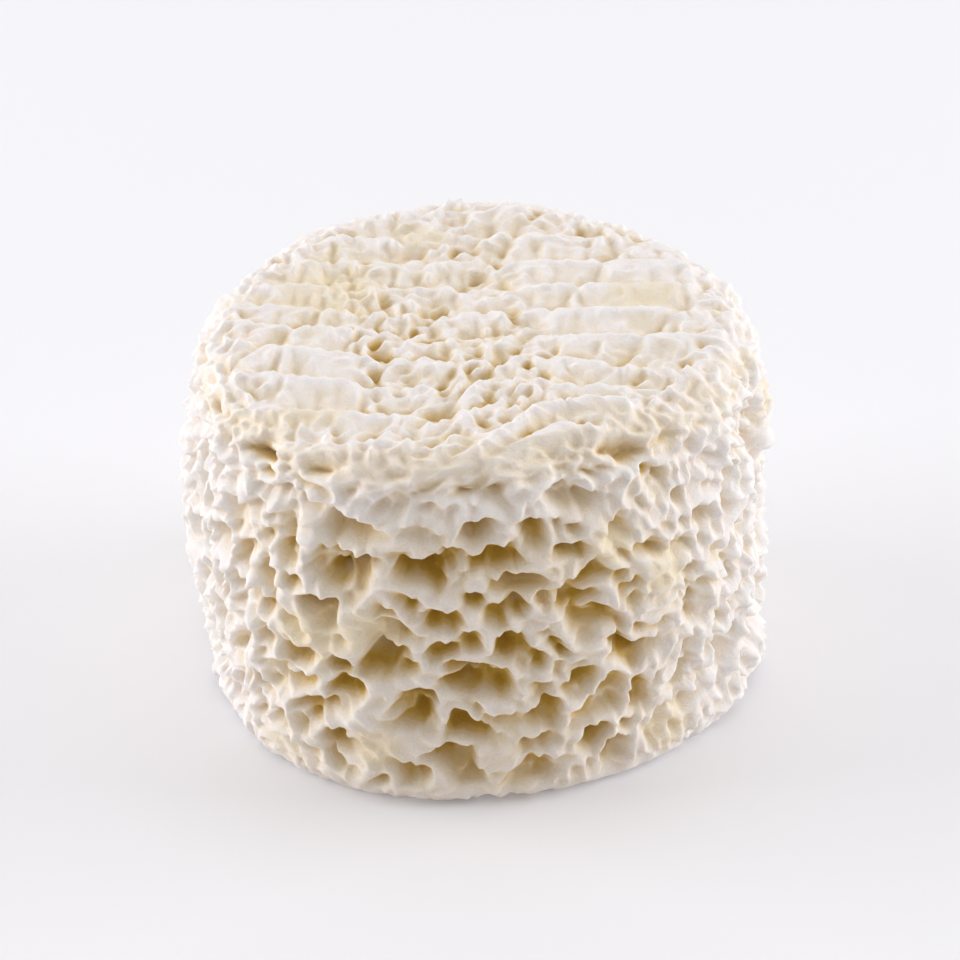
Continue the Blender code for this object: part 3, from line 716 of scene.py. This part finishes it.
class Nodes:
    """Short ways to add and join a material's nodes."""

    def __init__(self, material):
        material.use_nodes = True
        self.tree = material.node_tree
        self.shader = self.tree.nodes["Principled BSDF"]
        self.place = self.tree.nodes.new("ShaderNodeTexCoord").outputs["Object"]

    def put(self, value, socket):
        if isinstance(value, (int, float, tuple)):
            socket.default_value = value
        else:
            self.tree.links.new(value, socket)

    def attribute(self, name):
        node = self.tree.nodes.new("ShaderNodeAttribute")
        node.attribute_name = name
        return node.outputs["Fac"]

    def noise(self, size_mm, detail=3.0, roughness=0.5):
        node = self.tree.nodes.new("ShaderNodeTexNoise")
        node.inputs["Scale"].default_value = 1 / (size_mm * MM)
        node.inputs["Detail"].default_value = detail
        node.inputs["Roughness"].default_value = roughness
        self.tree.links.new(self.place, node.inputs["Vector"])
        return node.outputs["Fac"]

    def math(self, kind, a, b=0.0):
        node = self.tree.nodes.new("ShaderNodeMath")
        node.operation = kind
        self.put(a, node.inputs[0])
        self.put(b, node.inputs[1])
        return node.outputs[0]

    def offset(self, value, weight):
        """An even noise as an amount to add or take off, of this whole width."""
        return self.math("MULTIPLY", self.math("SUBTRACT", value, 0.5), weight)

    def without(self, value, share, other):
        """The value, less this share of it where the other is 1."""
        left = self.math("SUBTRACT", 1.0, self.math("MULTIPLY", other, share))
        return self.math("MULTIPLY", value, left)

    def span(self, value, low, high, to_low=0.0, to_high=1.0):
        """The value's stretch from low to high, as a smooth step from to_low to to_high."""
        node = self.tree.nodes.new("ShaderNodeMapRange")
        node.interpolation_type = "SMOOTHSTEP"
        names = ("From Min", "From Max", "To Min", "To Max")
        for name, number in zip(names, (low, high, to_low, to_high)):
            node.inputs[name].default_value = number
        self.put(value, node.inputs["Value"])
        return node.outputs["Result"]

    def mix(self, share, one, other):
        node = self.tree.nodes.new("ShaderNodeMix")
        node.data_type = "RGBA"
        self.put(share, node.inputs["Factor"])
        self.put(one, node.inputs["A"])
        self.put(other, node.inputs["B"])
        return node.outputs["Result"]

    def ramp(self, value, stops):
        node = self.tree.nodes.new("ShaderNodeValToRGB")
        node.color_ramp.interpolation = "EASE"
        elements = node.color_ramp.elements
        while len(elements) < len(stops):
            elements.new(0.5)
        for element, (at, colour) in zip(elements, stops):
            element.position = at
            element.color = colour
        self.put(value, node.inputs["Fac"])
        return node.outputs["Color"]

    def bump(self, height, strength, distance_mm, under=None):
        node = self.tree.nodes.new("ShaderNodeBump")
        node.inputs["Strength"].default_value = strength
        node.inputs["Distance"].default_value = distance_mm * MM
        self.put(height, node.inputs["Height"])
        if under is not None:
            self.put(under, node.inputs["Normal"])
        return node.outputs["Normal"]


def rind_material():
    """White bloom on the ridges, creamy between them, tan to ochre down in the hollows, with
    painted shade where the rind is sheltered, on its front and on the bars' fronts.
    """
    material = bpy.data.materials.new("rind")
    n = Nodes(material)
    front, groove, wax = n.attribute("front"), n.attribute("groove"), n.attribute("wax")
    patches = n.noise(PATCH_MM)
    mottle = n.noise(MOTTLE_MM, detail=4.0, roughness=0.6)
    grain = n.noise(GRAIN_MM, roughness=0.6)

    # how deep, with painted shade added where the rind is sheltered and on its front, a little
    # unevenly
    depth = n.math("MULTIPLY", n.attribute("depth"), HOLLOW_WEIGHT)
    depth = n.math("ADD", depth, n.attribute("painted_shade"))
    depth = n.math("ADD", depth, n.offset(mottle, MOTTLE_WEIGHT))
    depth = n.math("ADD", depth, n.offset(patches, PATCH_WEIGHT))
    depth = n.span(depth, *TONE_SPAN)
    colour = n.ramp(depth, RIND_AND_SHADE_TONES)

    # waxy patches, damp and yellow, where there is no bloom
    chance_wax = n.math("MULTIPLY", n.span(patches, 0.56, 0.66), n.span(groove, -0.15, 0.15, 0.4))
    waxy = n.math("MAXIMUM", wax, n.math("MULTIPLY", chance_wax, CHANCE_WAX_SHARE))
    colour = n.mix(n.math("MULTIPLY", waxy, WAX_SHARE), colour, WAX_TONE)

    # the bloom lies on the ridges, over the bars' fronts, which are painted creamy with shade as
    # they face away from the light; the front of the side keeps little bloom, as painted shade
    bloom = n.math("MULTIPLY", n.span(groove, 0.02, -0.2), n.span(mottle, 0.3, 0.6, 0.45))
    bloom = n.without(bloom, 0.5, waxy)
    bloom = n.without(bloom, 0.6, front)
    # painted shade: little bloom on the side that faces the dim front
    bloom = n.without(bloom, 0.8, n.attribute("front_side_shade"))
    # painted shade and creamy tone on the bars' fronts
    colour = n.mix(n.math("MULTIPLY", front, BAR_FRONT_TONE_AND_SHADE_SHARE), colour, BAR_FRONT_TONE_AND_SHADE)
    colour = n.mix(n.math("MULTIPLY", bloom, BLOOM_SHARE), colour, BLOOM_TONE)

    # powdery: specks of white, and of shade between them
    powder = n.noise(POWDER_MM, roughness=0.7)
    specks = n.span(powder, 0.5, 0.72, 0.0, 0.4)
    specks = n.math("MULTIPLY", specks, n.span(depth, 0.3, 0.7, 1.0, 0.15))
    colour = n.mix(specks, colour, POWDER_TONE)
    colour = n.mix(n.span(powder, 0.5, 0.3, 0.0, 0.2), colour, SHADE_TONE)

    # wax shines a little, and the skin is lumpy under its grain
    rough = n.math("SUBTRACT", ROUGHNESS, n.math("MULTIPLY", waxy, WAX_SHINE))
    rough = n.math("ADD", rough, n.offset(grain, GRAIN_ROUGHNESS))
    lumps = n.bump(n.noise(LUMP_MM, detail=5.0, roughness=0.6), *LUMP_BUMP)
    shader = n.shader.inputs
    n.put(colour, shader["Base Color"])
    n.put(rough, shader["Roughness"])
    n.put(n.bump(grain, *GRAIN_BUMP, under=lumps), shader["Normal"])
    n.shader.subsurface_method = "BURLEY"
    shader["Subsurface Weight"].default_value = SCATTER_WEIGHT
    shader["Subsurface Radius"].default_value = SCATTER_COLOURS
    shader["Subsurface Scale"].default_value = SCATTER_MM * MM
    shader["Specular IOR Level"].default_value = SPECULAR
    shader["IOR"].default_value = IOR
    return material


def make_crottin():
    """The cheese: the drum's relief on a fine even mesh, thinned where it is plain."""
    crottin = turned_drum()
    apply_modifiers(crottin)
    write_points(crottin.data, add_rind(read_points(crottin.data)))
    crottin.data.calc_loop_triangles()
    thin = crottin.modifiers.new("thin", "DECIMATE")
    thin.ratio = min(1.0, TRIANGLES / len(crottin.data.loop_triangles))
    thin.use_collapse_triangulate = True
    apply_modifiers(crottin)

    # it stands where the CAD solid stands
    low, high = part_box(NODE)
    points = read_points(crottin.data)
    middle = 0.5 * (points[:, :2].min(axis=0) + points[:, :2].max(axis=0))
    points[:, 0] += 0.5 * (low[0] + high[0]) / MM - middle[0]
    points[:, 1] += 0.5 * (low[1] + high[1]) / MM - middle[1]
    points[:, 2] += low[2] / MM - points[:, 2].min()
    points[points[:, 2] < FLOOR_SNAP, 2] = 0
    write_points(crottin.data, points)
    measure_rind(crottin)
    crottin.data.materials.append(rind_material())
    crottin.data.shade_smooth()
    return crottin


# ---------------------------------------------------------------- floor, light and camera
def make_floor():
    """A plain pale floor, wide enough to reach past every view."""
    bpy.ops.mesh.primitive_plane_add(size=FLOOR_SIZE)
    floor = bpy.context.object
    floor.name = "floor"
    material = bpy.data.materials.new("floor")
    material.use_nodes = True
    shader = material.node_tree.nodes["Principled BSDF"].inputs
    shader["Base Color"].default_value = FLOOR_COLOUR
    shader["Emission Color"].default_value = FLOOR_GLOW
    shader["Emission Strength"].default_value = 1.0
    shader["Roughness"].default_value = FLOOR_ROUGHNESS
    shader["Specular IOR Level"].default_value = FLOOR_SPECULAR
    floor.data.materials.append(material)
    return floor


def aim(thing, target):
    """Turns a lamp or the camera towards a place."""
    thing.rotation_euler = (Vector(target) - thing.location).to_track_quat("-Z", "Y").to_euler()


def make_lights():
    """A white room, dimmer and warmer in front, and three soft boxes."""
    world = bpy.data.worlds.new("studio")
    bpy.context.scene.world = world
    world.use_nodes = True
    nodes, links = world.node_tree.nodes, world.node_tree.links
    parts = nodes.new("ShaderNodeSeparateXYZ")
    ramp = nodes.new("ShaderNodeValToRGB")
    for element, at, colour in zip(ramp.color_ramp.elements, WORLD_BAND, WORLD_COLOURS):
        element.position = at
        element.color = colour
    links.new(nodes.new("ShaderNodeTexCoord").outputs["Generated"], parts.inputs[0])
    turned = nodes.new("ShaderNodeMapRange")
    turned.inputs["From Min"].default_value = -1.0
    links.new(parts.outputs["Y"], turned.inputs["Value"])
    links.new(turned.outputs["Result"], ramp.inputs["Fac"])
    links.new(ramp.outputs["Color"], nodes["Background"].inputs["Color"])
    nodes["Background"].inputs["Strength"].default_value = WORLD_STRENGTH
    for name, place, size, power, colour in LIGHTS:
        light = bpy.data.lights.new(name, "AREA")
        light.size = size
        light.energy = power
        light.color = colour
        lamp = bpy.data.objects.new(name, light)
        lamp.location = place
        bpy.context.scene.collection.objects.link(lamp)
        aim(lamp, CAMERA_AIM)


def make_camera():
    """A long lens that looks down at the front."""
    lens = bpy.data.cameras.new("camera")
    lens.lens = CAMERA_LENS
    camera = bpy.data.objects.new("camera", lens)
    rise = math.radians(CAMERA_ELEVATION)
    way = Vector((0, -math.cos(rise), math.sin(rise)))
    camera.location = Vector(CAMERA_AIM) + CAMERA_DISTANCE * way
    bpy.context.scene.collection.objects.link(camera)
    aim(camera, CAMERA_AIM)
    bpy.context.scene.camera = camera


def main():
    bpy.context.scene.view_settings.view_transform = "Standard"
    crottin = make_crottin()
    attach(crottin, "root")
    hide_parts(NODE)
    make_floor()
    make_lights()
    make_camera()


main()
